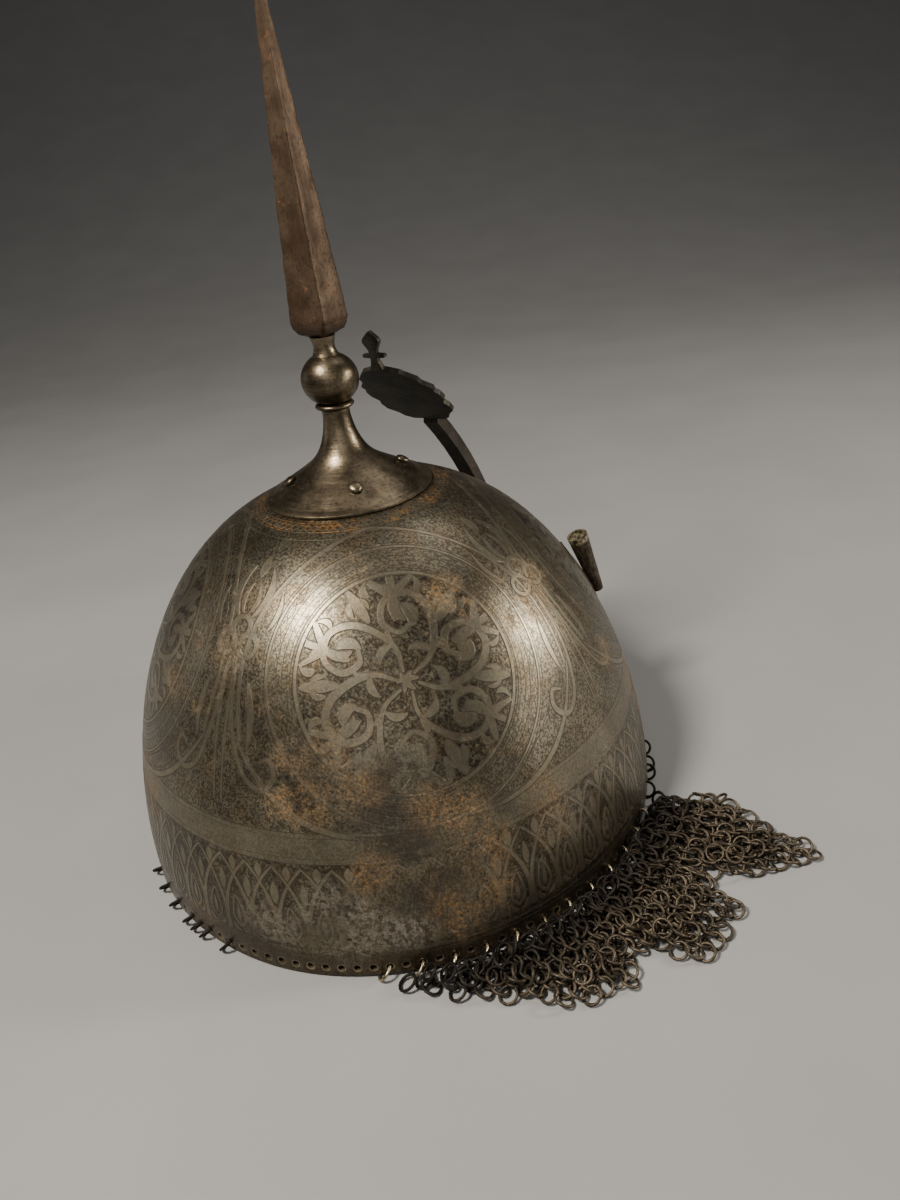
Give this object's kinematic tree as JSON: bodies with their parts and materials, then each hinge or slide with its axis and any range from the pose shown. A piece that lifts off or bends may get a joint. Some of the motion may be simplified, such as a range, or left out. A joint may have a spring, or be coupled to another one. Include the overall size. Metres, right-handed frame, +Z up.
{
  "type": "kulah khud helmet",
  "caption": "Round iron helmet with a spiked finial, plume tubes, a sliding nose bar and a torn mail curtain lying beside its rim.",
  "frame": {"origin": "centre of the head opening, on the surface that the helmet stands on", "axes": "+Z up along the spike, the brow and the nasal face -Y"},
  "size_m": [0.2623, 0.2123, 0.2856],
  "materials": {
    "skull_steel": "etched and chiselled steel, brown patina, rust blotches",
    "finial_steel": "turned steel with a warm worn patina",
    "spike_iron": "forged iron, red brown",
    "dark_iron": "dark pitted iron",
    "mail_iron": "dull brown iron wire"
  },
  "bodies": {
    "helmet": {"skull_bowl": "skull_steel", "finial_foot": "finial_steel", "finial_collar": "finial_steel", "finial_knop": "finial_steel", "finial_spike": "spike_iron", "finial_rivet_1": "finial_steel", "finial_rivet_2": "finial_steel", "finial_rivet_3": "finial_steel", "finial_rivet_4": "finial_steel", "plume_holder_right": "dark_iron", "plume_holder_left": "dark_iron", "nasal_bracket": "dark_iron", "bracket_rivet_right": "dark_iron", "bracket_rivet_left": "dark_iron", "mail_curtain": "mail_iron", "rim_ring_1": "mail_iron", "rim_ring_2": "mail_iron", "rim_ring_3": "mail_iron", "rim_ring_4": "mail_iron", "rim_ring_5": "mail_iron", "rim_ring_6": "mail_iron", "rim_ring_7": "mail_iron", "rim_ring_8": "mail_iron", "rim_ring_9": "mail_iron", "rim_ring_10": "mail_iron", "rim_ring_11": "mail_iron", "rim_ring_12": "mail_iron", "rim_ring_13": "mail_iron", "rim_ring_14": "mail_iron", "rim_ring_15": "mail_iron", "rim_ring_16": "mail_iron", "rim_ring_17": "mail_iron", "rim_ring_18": "mail_iron", "rim_ring_19": "mail_iron", "rim_ring_20": "mail_iron", "rim_ring_21": "mail_iron"},
    "nasal": {"nasal_bar": "dark_iron", "nasal_leaf": "dark_iron", "nasal_rivet_low": "dark_iron", "nasal_rivet_high": "dark_iron"}
  },
  "joints": [
    {"name": "nasal_slide", "type": "hinge", "parent": "helmet", "child": "nasal", "pos_m": [0, 0.064, 0.01997], "axis": [1, 0, 0], "range_deg": [0, 35]}
  ]
}
